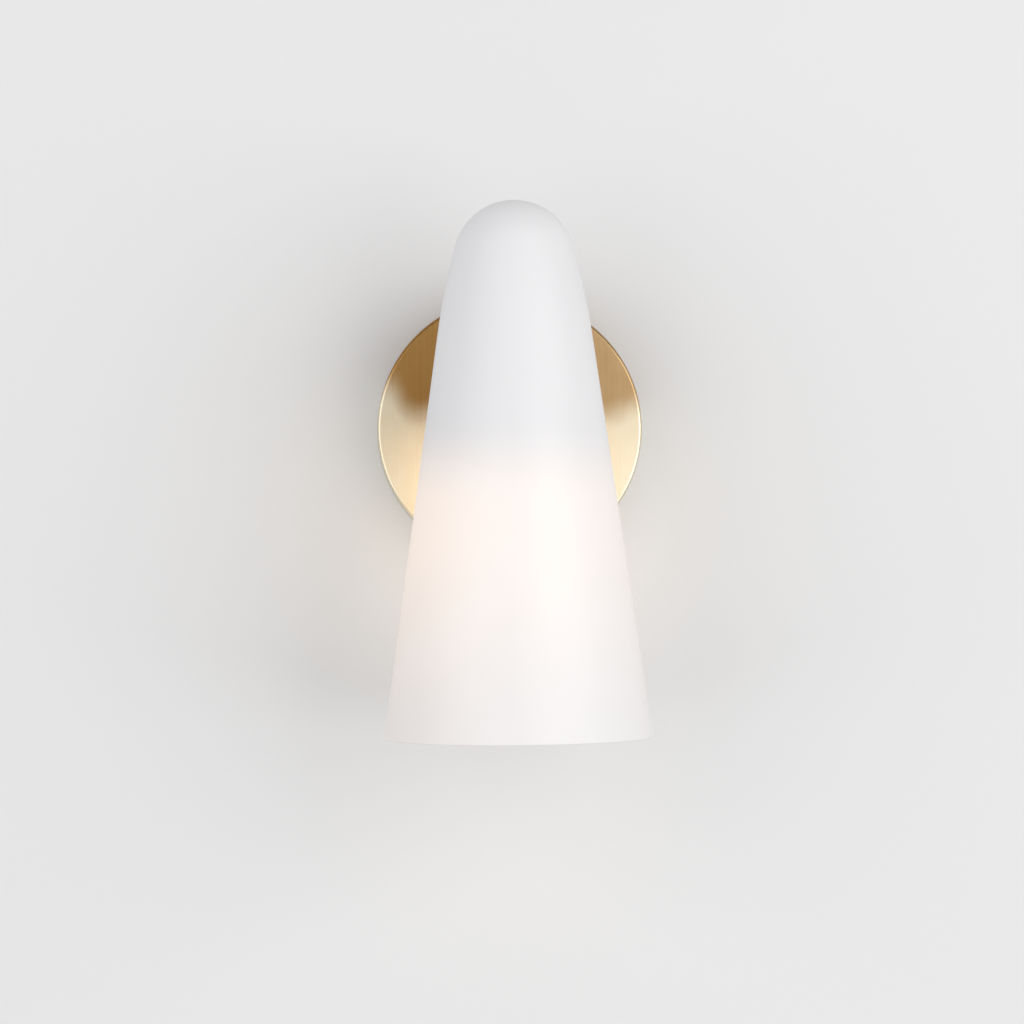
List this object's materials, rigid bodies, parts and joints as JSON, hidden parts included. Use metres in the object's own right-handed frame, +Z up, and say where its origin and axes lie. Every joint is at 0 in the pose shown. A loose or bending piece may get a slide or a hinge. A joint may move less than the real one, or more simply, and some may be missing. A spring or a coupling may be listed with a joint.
{
  "type": "wall sconce",
  "caption": "Wall sconce with a round brass backplate, a short arm and a tall opal glass cone shade, domed on top and open below.",
  "frame": {"origin": "centre of the backplate's rear rim, on the wall, at the height of the arm", "axes": "+Z up, -Y out of the wall towards the room, +X to the right as seen from the room"},
  "size_m": [0.127, 0.1569, 0.248],
  "materials": {
    "zinc_steel": "bright zinc plated steel",
    "brass_screw": "turned brass",
    "white_nylon": "moulded nylon",
    "brushed_brass": "vertically brushed, clear lacquered",
    "turned_brass": "satin turned",
    "black_rubber": "matt",
    "opal_glass": "satin etched opal",
    "white_enamel": "semi-matt white",
    "ceramic": "unglazed steatite",
    "contact_steel": "bright",
    "frosted_glass": "frosted",
    "lit_ceramic": "warm white chips under silicone",
    "brown_insulation": "extruded",
    "blue_insulation": "extruded"
  },
  "bodies": {
    "fixture": {"wall_bracket": "zinc_steel", "earth_screw": "brass_screw", "terminal_block": "white_nylon", "terminal_screws": "zinc_steel", "block_screw": "zinc_steel", "backplate": "brushed_brass", "backplate_screws": "brass_screw", "threaded_pipe": "zinc_steel", "plate_washer": "zinc_steel", "plate_nut": "zinc_steel", "arm_collar": "turned_brass", "arm_sleeve": "turned_brass", "shade_cup": "turned_brass", "outer_gasket": "black_rubber", "shade": "opal_glass", "inner_gasket": "black_rubber", "clamp_washer": "zinc_steel", "ring_nut": "turned_brass", "hub_nut": "zinc_steel", "hub": "turned_brass", "hub_cap": "turned_brass", "lamp_shield": "white_enamel", "lampholder": "ceramic", "lampholder_screws": "zinc_steel", "live_lead": "brown_insulation", "neutral_lead": "blue_insulation"},
    "lamp": {"lamp_base": "ceramic", "lamp_pins": "contact_steel", "lamp_glass": "frosted_glass", "lamp_emitter": "lit_ceramic"}
  },
  "joints": [
    {"name": "lamp_pull", "type": "slide", "parent": "fixture", "child": "lamp", "axis": [0, 0, -1], "range_m": [0, 0.01]}
  ]
}
